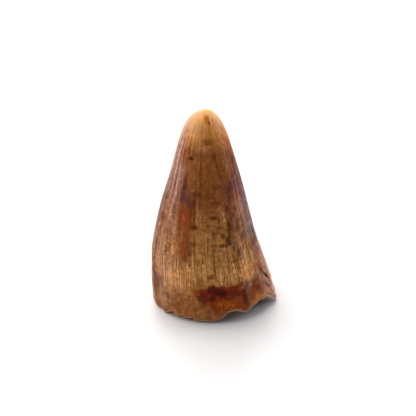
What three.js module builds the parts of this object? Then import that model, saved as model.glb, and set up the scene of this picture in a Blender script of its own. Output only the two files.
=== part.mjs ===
// The crown of a fossil cave bear's canine tooth: a blunt cone of enamel over dentine, hollow
// where the pulp was, snapped off across the base, so that it stands on its own broken rim.
//
// Millimetres. +Z runs up to the tip and the flatter front face looks towards -Y.
// Angles run round the crown in degrees: 0 is the front, 90 the right side (+X), 180 the back.
import * as THREE from "three";

// ---------- driving dimensions: the whole crown ----------

const HEIGHT = 37.8; // rest plane to tip

// How far the surface reaches, at each height, from the upright line through the base's middle.
// The tip is not over the middle: it leans a little to the left and to the back.
const REACH = [
  { z: HEIGHT, left: 1.4, right: -1.4, front: -1.5, back: 1.5 },
  { z: 37.25, left: 3.1, right: -0.1, front: -0.3, back: 2.7 },
  { z: 36.1, left: 4.45, right: 0.95, front: 0.9, back: 3.7 },
  { z: 34.0, left: 5.65, right: 2.05, front: 2.2, back: 4.7 },
  { z: 30.0, left: 6.9, right: 3.4, front: 3.8, back: 5.7 },
  { z: 25.0, left: 8.15, right: 4.8, front: 5.3, back: 6.7 },
  { z: 19.0, left: 9.9, right: 6.35, front: 6.85, back: 7.95 },
  { z: 12.5, left: 11.3, right: 8.05, front: 8.35, back: 9.15 },
  { z: 5.5, left: 12.05, right: 10.3, front: 9.7, back: 10.2 },
  { z: 0.0, left: 11.9, right: 12.15, front: 10.3, back: 10.7 },
];
const SQUARENESS = 2.15; // exponent of each section's superellipse: 2 would be a plain ellipse

// ---------- driving dimensions: the break across the base ----------

// [angle, height of the broken edge above the rest plane]. The stretches at height 0 are the
// three lands the crown stands on; the front right is broken away highest, beside a thin flake.
const BREAK_LINE = [
  [-180, 0],
  [-172, 0],
  [-168, 0.3],
  [-161, 0.35],
  [-157, 0],
  [-146, 0],
  [-141, 0.5],
  [-137, 0.45],
  [-131, 0.95],
  [-126, 0.6],
  [-121, 0.7],
  [-116, 0.2],
  [-113, 0],
  [-53, 0],
  [-50, 0.1],
  [-47, 0.4],
  [-44, 0.7],
  [-40, 0.5],
  [-35, 0.4],
  [-30, 0.25],
  [-25, 0.35],
  [-22, 0.4],
  [-18, 0.15],
  [-15, 0],
  [1.5, 0],
  [5, 0.35],
  [10, 1.05],
  [15, 1.7],
  [18, 2.0],
  [23, 2.1],
  [28, 1.95],
  [33, 1.6],
  [36.5, 1.4],
  [40, 1.85],
  [44, 2.1],
  [50, 2.25],
  [60, 2.2],
  [65.5, 2.3],
  [69.5, 1.9],
  [74, 1.2],
  [78, 0.4],
  [81, 0.15],
  [84, 0.4],
  [88, 1.2],
  [93, 2.4],
  [99, 2.25],
  [104, 1.6],
  [108, 1.45],
  [112, 0.5],
  [117, 0],
  [180, 0],
];
const EDGE_BEVEL = 0.3; // how far the broken edge is chipped back, and how high up

// [angle, thickness of the wall at the break]: thin where the flake hangs down on the right.
const WALL = [
  [-180, 2.0],
  [-100, 2.3],
  [-20, 2.0],
  [50, 2.0],
  [66, 1.1],
  [82, 0.7],
  [94, 1.1],
  [112, 2.1],
  [180, 2.0],
];
const CAVITY_TOP = 22; // height at which the pulp cavity closes
const CAVITY_TAPER = 1.5; // 1 is a straight cone; more keeps the cavity wide for longer
const INNER_EDGE_LIFT = 0.3; // the break slants up inwards wherever it is off the rest plane

// ---------- driving dimensions: ridges, grooves and scars ----------

// Lines along the crown. A negative rise is a groove. They die out beyond their lowest and
// highest point, and lean by the given degrees for every millimetre of height.
const LENGTHWISE = [
  { name: "front left corner", angle: -52, halfWidth: 13, rise: 0.2, low: 4, high: 33, lean: 0 },
  { name: "front right corner", angle: 42, halfWidth: 14, rise: 0.22, low: 6, high: 33, lean: 0.4 },
  { name: "left keel", angle: -68, halfWidth: 5, rise: 0.3, low: 2, high: 34, lean: 0 },
  { name: "left groove", angle: -54, halfWidth: 3.6, rise: -0.26, low: 19, high: 35, lean: 0 },
  { name: "right keel", angle: 78, halfWidth: 5, rise: 0.34, low: -2, high: 34, lean: 0 },
  { name: "right groove", angle: 66, halfWidth: 5, rise: -0.2, low: 3, high: 33, lean: -0.1 },
  { name: "back keel", angle: 138, halfWidth: 5.5, rise: 0.35, low: -2, high: 33, lean: 0.15 },
  { name: "back groove", angle: 150, halfWidth: 5, rise: -0.26, low: 3, high: 32, lean: 0.1 },
  { name: "back rib", angle: -152, halfWidth: 6, rise: 0.2, low: -2, high: 30, lean: -0.1 },
];
const RIDGE_END = 4; // the length over which a ridge or groove dies out
const LEAN_HEIGHT = 20; // a leaning line has its stated angle at this height

// The shallow ribbing of the enamel, as two waves round the crown that beat against each other.
const RIBBING = [
  { count: 26, depth: 0.035, shift: 0 },
  { count: 37, depth: 0.025, shift: 50 },
];

// Rounded hollows: a pit near the tip, shells broken off the right keel, small nicks.
const HOLLOWS = [
  { name: "pit", angle: -28, z: 30.3, across: 0.55, along: 0.5, depth: 0.35 },
  { name: "upper keel shell", angle: 74.5, z: 6.3, across: 0.8, along: 1.1, depth: 0.5 },
  { name: "lower keel shell", angle: 73, z: 4.4, across: 0.8, along: 0.8, depth: 0.5 },
  { name: "crack nick", angle: 37.5, z: 6.2, across: 0.6, along: 0.8, depth: 0.22 },
  { name: "back shell", angle: 165, z: 6.0, across: 1.7, along: 2.2, depth: 0.35 },
  { name: "left back nick", angle: -128, z: 15.5, across: 0.8, along: 1.2, depth: 0.3 },
];

// Areas where a skin of enamel has come off, below a slanting upper edge that leaves a ledge.
const SCARS = [
  { name: "lower left scar", from: -112, to: -52, zFrom: 11, zTo: 6.5, depth: 0.22 },
  { name: "right of the crack", from: 38.5, to: 64, zFrom: 7.9, zTo: 7.2, depth: 0.16 },
  { name: "back scar", from: 168, to: 205, zFrom: 9, zTo: 13, depth: 0.25 },
];
const SCAR_EDGE = 0.7; // the width of the step at a scar's edge, in millimetres
const SCAR_SIDE = 3; // and at its two ends, in degrees

const RELIEF_FADE = 5; // ridges and ribs shrink away where the section is narrower than this

// ---------- how finely the surface is divided ----------

const COLUMNS = 112;
const OUTER_ROWS = 31;
const ROW_CROWDING = 1.45; // rows crowd towards the tip, where the surface curves most
const CAVITY_ROWS = 7;

// ---------- shared formulas ----------

const SMALLEST = 1e-6; // a half width that stands for none, so that nothing is divided by zero
const radians = THREE.MathUtils.degToRad;
const { smoothstep, lerp } = THREE.MathUtils;

// Straight-line interpolation in a table of [angle, value].
function alongTable(table, angle) {
  const next = Math.max(1, table.findIndex(([a]) => a >= angle));
  const [a0, v0] = table[next - 1];
  const [a1, v1] = table[next];
  return lerp(v0, v1, (angle - a0) / (a1 - a0));
}

// The difference between two angles, from -180 to 180.
function turnBetween(angle, from) {
  return THREE.MathUtils.euclideanModulo(angle - from + 180, 360) - 180;
}

// The tip is round, so its radius grows as the root of the depth below it. Measured in this
// root, which is 0 at the tip and 1 at the rest plane, every reach is a smooth curve.
const depthRoot = (z) => Math.sqrt(Math.max(0, HEIGHT - z) / HEIGHT);

// A smooth cubic through the reach stations of one side.
function reachAt(side, z) {
  const root = depthRoot(z);
  const knots = REACH.map((station) => depthRoot(station.z));
  const values = REACH.map((station) => station[side]);
  const last = knots.length - 1;
  const gap = (k) => knots[k + 1] - knots[k];
  const rise = (k) => (values[k + 1] - values[k]) / gap(k);
  const slope = (k) => {
    if (k === 0) return rise(0);
    if (k === last) return rise(last - 1);
    return (rise(k - 1) * gap(k) + rise(k) * gap(k - 1)) / (gap(k) + gap(k - 1));
  };
  const found = knots.findIndex((knot) => knot > root);
  const k = found < 0 ? last - 1 : found - 1;
  const t = (root - knots[k]) / gap(k);
  const start = (1 + 2 * t) * (1 - t) ** 2 * values[k];
  const end = t * t * (3 - 2 * t) * values[k + 1];
  const leaving = t * (1 - t) ** 2 * gap(k) * slope(k);
  const arriving = t * t * (t - 1) * gap(k) * slope(k + 1);
  return start + end + leaving + arriving;
}

// The section at a height: its middle and its half widths.
function sectionAt(z) {
  const left = reachAt("left", z);
  const right = reachAt("right", z);
  const front = reachAt("front", z);
  const back = reachAt("back", z);
  return {
    x: (right - left) / 2,
    y: (back - front) / 2,
    halfX: Math.max(SMALLEST, (right + left) / 2),
    halfY: Math.max(SMALLEST, (back + front) / 2),
  };
}

function lengthwiseRise(angle, z) {
  let sum = 0;
  for (const line of LENGTHWISE) {
    const off = turnBetween(angle, line.angle + line.lean * (z - LEAN_HEIGHT)) / line.halfWidth;
    const begun = smoothstep(z, line.low - RIDGE_END, line.low + RIDGE_END);
    const ended = smoothstep(z, line.high - RIDGE_END, line.high + RIDGE_END);
    sum += line.rise * Math.exp(-off * off) * begun * (1 - ended);
  }
  return sum;
}

function ribbing(angle) {
  const wave = ({ count, depth, shift }) => depth * Math.sin(radians(count * angle + shift));
  return RIBBING.map(wave).reduce((sum, height) => sum + height);
}

function hollowDepth(angle, z, radius) {
  let deepest = 0;
  for (const hollow of HOLLOWS) {
    const across = (radians(turnBetween(angle, hollow.angle)) * radius) / hollow.across;
    const along = (z - hollow.z) / hollow.along;
    const inside = Math.max(0, 1 - across * across - along * along);
    deepest = Math.max(deepest, hollow.depth * Math.sqrt(inside));
  }
  return deepest;
}

function scarDepth(angle, z) {
  let sum = 0;
  for (const scar of SCARS) {
    const span = scar.to - scar.from;
    const into = turnBetween(angle, scar.from);
    const edge = lerp(scar.zFrom, scar.zTo, THREE.MathUtils.clamp(into / span, 0, 1));
    const sides = smoothstep(into, 0, SCAR_SIDE) * (1 - smoothstep(into, span - SCAR_SIDE, span));
    sum += scar.depth * sides * (1 - smoothstep(z, edge - SCAR_EDGE, edge));
  }
  return sum;
}

// A point of the outer surface, moved in towards the section's middle by `inset`.
function outerPoint(angle, z, inset = 0) {
  const section = sectionAt(z);
  const sin = Math.sin(radians(angle));
  const cos = Math.cos(radians(angle));
  const flatness =
    Math.abs(sin / section.halfX) ** SQUARENESS + Math.abs(cos / section.halfY) ** SQUARENESS;
  const radius = flatness ** (-1 / SQUARENESS);
  const raised = lengthwiseRise(angle, z) + ribbing(angle);
  const sunk = hollowDepth(angle, z, radius) + scarDepth(angle, z);
  const fade = Math.min(1, radius / RELIEF_FADE) ** 2;
  const reach = radius + raised * fade - sunk - inset;
  return new THREE.Vector3(section.x + reach * sin, section.y - reach * cos, z);
}

// ---------- the surface: rings of points from the tip, round the rim, up into the cavity ----------

const columnAngles = Array.from({ length: COLUMNS }, (_, i) => -180 + (360 * i) / COLUMNS);

function outerRings() {
  const rings = [];
  for (let row = 1; row <= OUTER_ROWS; row++) {
    const share = (row / OUTER_ROWS) ** ROW_CROWDING;
    const ring = columnAngles.map((angle) => {
      const lowest = alongTable(BREAK_LINE, angle) + EDGE_BEVEL;
      return outerPoint(angle, lerp(HEIGHT, lowest, share));
    });
    rings.push(ring);
  }
  rings.push(columnAngles.map((a) => outerPoint(a, alongTable(BREAK_LINE, a), EDGE_BEVEL)));
  return rings;
}

// The cavity is the rim's inner outline, shrinking as it rises and following the crown's lean.
function cavityRings() {
  const rings = [];
  for (let row = 0; row < CAVITY_ROWS; row++) {
    const climb = row / CAVITY_ROWS;
    const ring = columnAngles.map((angle) => {
      const edge = alongTable(BREAK_LINE, angle);
      const bottom = edge + Math.min(edge, INNER_EDGE_LIFT);
      const rim = outerPoint(angle, bottom, alongTable(WALL, angle));
      const foot = sectionAt(bottom);
      const z = lerp(bottom, CAVITY_TOP, climb);
      const middle = sectionAt(z);
      const size = 1 - climb ** CAVITY_TAPER;
      const x = middle.x + (rim.x - foot.x) * size;
      const y = middle.y + (rim.y - foot.y) * size;
      return new THREE.Vector3(x, y, z);
    });
    rings.push(ring);
  }
  return rings;
}

function crownGeometry() {
  const top = sectionAt(HEIGHT);
  const roof = sectionAt(CAVITY_TOP);
  const rings = [...outerRings(), ...cavityRings()];
  const tip = new THREE.Vector3(top.x, top.y, HEIGHT);
  const apex = new THREE.Vector3(roof.x, roof.y, CAVITY_TOP);
  const points = [tip, ...rings.flat(), apex];
  const at = (ring, column) => 1 + ring * COLUMNS + (column % COLUMNS);
  const faces = [];
  for (let i = 0; i < COLUMNS; i++) {
    faces.push(0, at(0, i), at(0, i + 1));
    for (let ring = 0; ring + 1 < rings.length; ring++) {
      faces.push(at(ring, i), at(ring + 1, i), at(ring + 1, i + 1));
      faces.push(at(ring, i), at(ring + 1, i + 1), at(ring, i + 1));
    }
    faces.push(at(rings.length - 1, i), points.length - 1, at(rings.length - 1, i + 1));
  }
  const geometry = new THREE.BufferGeometry().setFromPoints(points).setIndex(faces);
  geometry.computeBoundingBox();
  const { min, max } = geometry.boundingBox;
  geometry.translate(-(min.x + max.x) / 2, -(min.y + max.y) / 2, 0); // the origin is mid-base
  geometry.computeVertexNormals();
  return geometry;
}

// ---------- the part ----------

const enamel = new THREE.MeshStandardMaterial({ color: 0x8f5c33, roughness: 0.42, metalness: 0 });

const tooth = new THREE.Mesh(crownGeometry(), enamel);
tooth.name = "tooth";

const part = new THREE.Group();
part.add(tooth);

export default part;
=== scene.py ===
"""Looks of a fossil cave bear's canine crown: stained enamel, drying cracks and a chipped, broken rim.

The crown is one piece. Its surface is a sheet of rings that runs from the tip down to the broken edge,
across the break and up the pulp cavity. Shapes, stains and some painted sheen, shade and highlights are
placed by angle and height: angles are in degrees round the crown (0 is the front, towards -Y; 90 the right
side; 180 the back), and heights and sizes are in millimetres until a mesh is made.
"""

import math

import bpy
import numpy as np
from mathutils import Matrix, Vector, noise


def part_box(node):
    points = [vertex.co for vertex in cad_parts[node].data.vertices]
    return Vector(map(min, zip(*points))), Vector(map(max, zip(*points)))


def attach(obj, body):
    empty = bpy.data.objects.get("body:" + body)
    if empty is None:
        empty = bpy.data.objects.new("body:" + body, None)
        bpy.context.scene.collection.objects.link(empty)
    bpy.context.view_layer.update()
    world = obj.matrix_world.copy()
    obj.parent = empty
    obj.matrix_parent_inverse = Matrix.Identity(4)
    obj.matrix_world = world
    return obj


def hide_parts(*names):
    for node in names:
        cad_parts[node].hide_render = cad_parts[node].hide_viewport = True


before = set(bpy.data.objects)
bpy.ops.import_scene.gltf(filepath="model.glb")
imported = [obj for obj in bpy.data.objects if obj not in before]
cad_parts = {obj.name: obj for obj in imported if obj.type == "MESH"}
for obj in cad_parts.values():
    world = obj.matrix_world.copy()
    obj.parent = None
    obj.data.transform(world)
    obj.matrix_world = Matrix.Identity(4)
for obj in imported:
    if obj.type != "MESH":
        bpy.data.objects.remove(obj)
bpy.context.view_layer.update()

NODE = "tooth"
MM = 0.001

low_corner, high_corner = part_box(NODE)
HEIGHT = (high_corner.z - low_corner.z) / MM

# ---------- the crown's shape, as in the solid ----------

# How far the surface reaches, at each height, from the upright line through the base's middle.
REACH = {
    "height": [HEIGHT, 37.25, 36.1, 34.0, 30.0, 25.0, 19.0, 12.5, 5.5, 0.0],
    "left": [1.4, 3.1, 4.45, 5.65, 6.9, 8.15, 9.9, 11.3, 12.05, 11.9],
    "right": [-1.4, -0.1, 0.95, 2.05, 3.4, 4.8, 6.35, 8.05, 10.3, 12.15],
    "front": [-1.5, -0.3, 0.9, 2.2, 3.8, 5.3, 6.85, 8.35, 9.7, 10.3],
    "back": [1.5, 2.7, 3.7, 4.7, 5.7, 6.7, 7.95, 9.15, 10.2, 10.7],
}
SQUARENESS = 2.15  # exponent of each section's superellipse

# (angle, height of the broken edge above the rest plane)
BREAK_LINE = [
    (-180, 0), (-172, 0), (-168, 0.3), (-161, 0.35), (-157, 0), (-146, 0), (-141, 0.5), (-137, 0.45),
    (-131, 0.95), (-126, 0.6), (-121, 0.7), (-116, 0.2), (-113, 0), (-53, 0), (-50, 0.1), (-47, 0.4),
    (-44, 0.7), (-40, 0.5), (-35, 0.4), (-30, 0.25), (-25, 0.35), (-22, 0.4), (-18, 0.15), (-15, 0),
    (1.5, 0), (5, 0.35), (10, 1.05), (15, 1.7), (18, 2), (23, 2.1), (28, 1.95), (33, 1.6), (36.5, 1.4),
    (40, 1.85), (44, 2.1), (50, 2.25), (60, 2.2), (65.5, 2.3), (69.5, 1.9), (74, 1.2), (78, 0.4),
    (81, 0.15), (84, 0.4), (88, 1.2), (93, 2.4), (99, 2.25), (104, 1.6), (108, 1.45), (112, 0.5),
    (117, 0), (180, 0),
]
# (angle, thickness of the wall at the break)
WALL = [
    (-180, 2.0), (-100, 2.3), (-20, 2.0), (50, 2.0), (66, 1.1), (82, 0.7), (94, 1.1), (112, 2.1), (180, 2.0),
]
FRONT_GAP = (-58, -44, 2, 8, 0.22)  # the front's rim is lifted between these angles, by this much at most
EDGE_CHIP = 0.45  # how high up the outer edge of the break is chipped
EDGE_INSET = 0.22  # and how far back
CAVITY_TOP = 22.0
CAVITY_TAPER = 1.5
INNER_EDGE_LIFT = 0.3

# name: angle, half width in degrees, rise, lowest and highest point, lean in degrees per millimetre
LENGTHWISE = {
    "front left corner": (-52, 13, 0.2, 4, 33, 0),
    "front right corner": (42, 14, 0.22, 6, 33, 0.4),
    "left keel": (-68, 5, 0.3, 2, 34, 0),
    "left groove": (-54, 3.6, -0.26, 19, 35, 0),
    "right keel": (78, 5, 0.34, -2, 34, 0),
    "right groove": (66, 5, -0.2, 3, 33, -0.1),
    "back keel": (138, 5.5, 0.35, -2, 33, 0.15),
    "back groove": (150, 5, -0.26, 3, 32, 0.1),
    "back rib": (-152, 6, 0.2, -2, 30, -0.1),
}
RIDGE_END = 4.0  # the length over which a ridge or groove dies out
LEAN_HEIGHT = 20.0  # a leaning line has its stated angle at this height
RIBBING = [(26, 0.035, 0), (37, 0.025, 50)]  # waves round the crown: count, depth, shift in degrees

# name: angle, height, half width, half length, depth
HOLLOWS = {
    "pit": (-28, 30.3, 0.5, 0.38, 0.35),
    "upper keel shell": (74.5, 6.3, 0.8, 1.1, 0.5),
    "lower keel shell": (73, 4.4, 0.8, 0.8, 0.5),
    "crack nick": (37.5, 6.2, 0.6, 0.8, 0.22),
    "back shell": (165, 6.0, 1.7, 2.2, 0.35),
    "left back nick": (-128, 15.5, 0.8, 1.2, 0.3),
    "back pit": (176, 27.5, 0.4, 0.5, 0.3),
    "left edge chip": (-47, 0.7, 0.9, 0.7, 0.25),
    "front edge chip": (28, 2.2, 0.8, 0.6, 0.25),
    "right edge chip": (56, 2.5, 0.9, 0.5, 0.22),
    "back edge chip": (-133, 1.2, 1.1, 0.8, 0.3),
}
# name: from angle, to angle, height of the upper edge at each, depth
SCARS = {
    "lower left scar": (-112, -52, 11, 6.5, 0.22),
    "right of the crack": (38.5, 64, 7.9, 7.2, 0.16),
    "back scar": (168, 205, 9, 13, 0.25),
}
SCAR_EDGE = 0.45  # the width of the step at a scar's edge, in millimetres
SCAR_SIDE = 6.0  # and at its two ends, in degrees
SCAR_WANDER = 0.35  # how far a scar's ledge strays from its straight line
SCAR_LUMPS = 1.2  # and the size of the lumps in which it strays
LUMP_DEPTH = 0.09  # broad unevenness of the worn enamel
LUMP_SIZES = (4.0, 4.0, 9.0)
RELIEF_FADE = 5.0  # relief shrinks away where the section is narrower than this
JAG_SIZE = 0.7  # the splinters of the break: their size round the edge
COARSE_JAG_SIZE = 2.3
JAG_HEIGHT = 0.28  # and how far they are chipped up
CHIP_LUMPS = 1.1  # the chipped outer edge varies in lumps of this size
CHIP_UNEVENNESS = 0.6
BREAK_ROUGHNESS = 0.16  # the height of the lumps of the broken face
BREAK_LUMPS = 0.8
CAVITY_ROUGHNESS = 0.12
CAVITY_LUMPS = (1.6, 1.6, 5.0)

# ---------- how finely the surface is divided ----------

COLUMNS = 408
OUTER_ROWS = 190
ROW_CROWDING = 1.25  # rows crowd towards the tip
RIM_ROWS = 9
CHIP_ROWS = 3  # how many of them round the outer edge
CAVITY_ROWS = 20
GROWTH_RADIUS = 10.0  # growth coordinates run on a cylinder of this radius, so lines meet at the tip
UV_RIM = 0.3  # the height in the UV map where the outside ends and the break and cavity begin
UV_MARGIN = 0.01

column_angles = -180 + 360 * np.arange(COLUMNS) / COLUMNS

# ---------- colours, red, green and blue up to 255: mostly the enamel's own, some with painted sheen, shade and highlights ---

PAINT_SCALE = 255.0


def paint(red, green, blue):
    """A colour as seen, turned into the linear light that shaders work in."""
    seen = np.array([red, green, blue]) / PAINT_SCALE
    linear = np.where(seen <= 0.04045, seen / 12.92, ((seen + 0.055) / 1.055) ** 2.4)
    return (*linear.tolist(), 1.0)


# (height, colour) of plain enamel on the front and the back, from the break to the tip
ENAMEL = [
    (0.0, paint(180, 110, 50)),  # brown root
    (6.0, paint(190, 120, 60)),
    (8.5, paint(230, 160, 90)),  # light band
    (12.5, paint(215, 145, 75)),
    (22.0, paint(160, 90, 40)),  # dark middle
    (31.5, paint(165, 95, 40)),
    (34.0, paint(245, 165, 90)),  # cap
    (HEIGHT, paint(255, 190, 115)),
]
# on the left flank: paler, pinker enamel, with the lamps' sheen painted into it
LEFT_FLANK_WITH_SHEEN = [
    (0.0, paint(160, 100, 55)),
    (8.5, paint(215, 155, 110)),
    (18.0, paint(175, 115, 80)),
    (29.0, paint(195, 145, 125)),
    (32.0, paint(185, 130, 105)),
    (HEIGHT, paint(245, 190, 145)),
]
# and on the right flank, more lilac: its own colour with painted sheen on it
RIGHT_FLANK_WITH_SHEEN = [
    (0.0, paint(215, 155, 115)),
    (8.0, paint(200, 135, 105)),
    (16.0, paint(170, 135, 125)),
    (25.0, paint(195, 145, 140)),
    (31.0, paint(215, 135, 110)),
    (33.5, paint(250, 150, 85)),
    (HEIGHT, paint(255, 195, 130)),
]
# (height, angle from the front at which the flank's colours are half in)
LEFT_EDGE = [(0, 46), (9, 42), (14, 39), (22, 37), (26, 39), (28.5, 45), (30.5, 52), (34, 50)]
RIGHT_EDGE = [(0, 69), (5, 67), (9, 70), (13, 68), (16, 62), (24, 63), (28, 70), (31, 68), (34, 56)]
FLANK_BLEND = 15  # how far to either side of that angle they blend
BACK_TURN = (112, 140)  # they go out again between these

# ---------- stains, and painted shade, sheen and highlights ---

# The colour of each kind, used for stains and for painted shade, sheen and highlights, and how softly its
# edge fades (0 crisp, 1 from the middle out).
STAIN_AND_LIGHT_KINDS = {
    "pale": (paint(218, 166, 142), 1.0),
    "honey": (paint(212, 154, 88), 0.8),
    "olive": (paint(136, 92, 30), 1.0),
    "russet": (paint(146, 52, 0), 0.45),
    "rust": (paint(158, 70, 24), 1.0),
    "orange": (paint(206, 110, 10), 0.9),
    "umber": (paint(104, 50, 4), 0.8),
    "maroon": (paint(96, 12, 0), 0.7),
    "violet": (paint(118, 62, 50), 0.9),
    "slate": (paint(132, 106, 96), 0.9),
    "chalk": (paint(222, 200, 178), 0.5),
}
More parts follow.
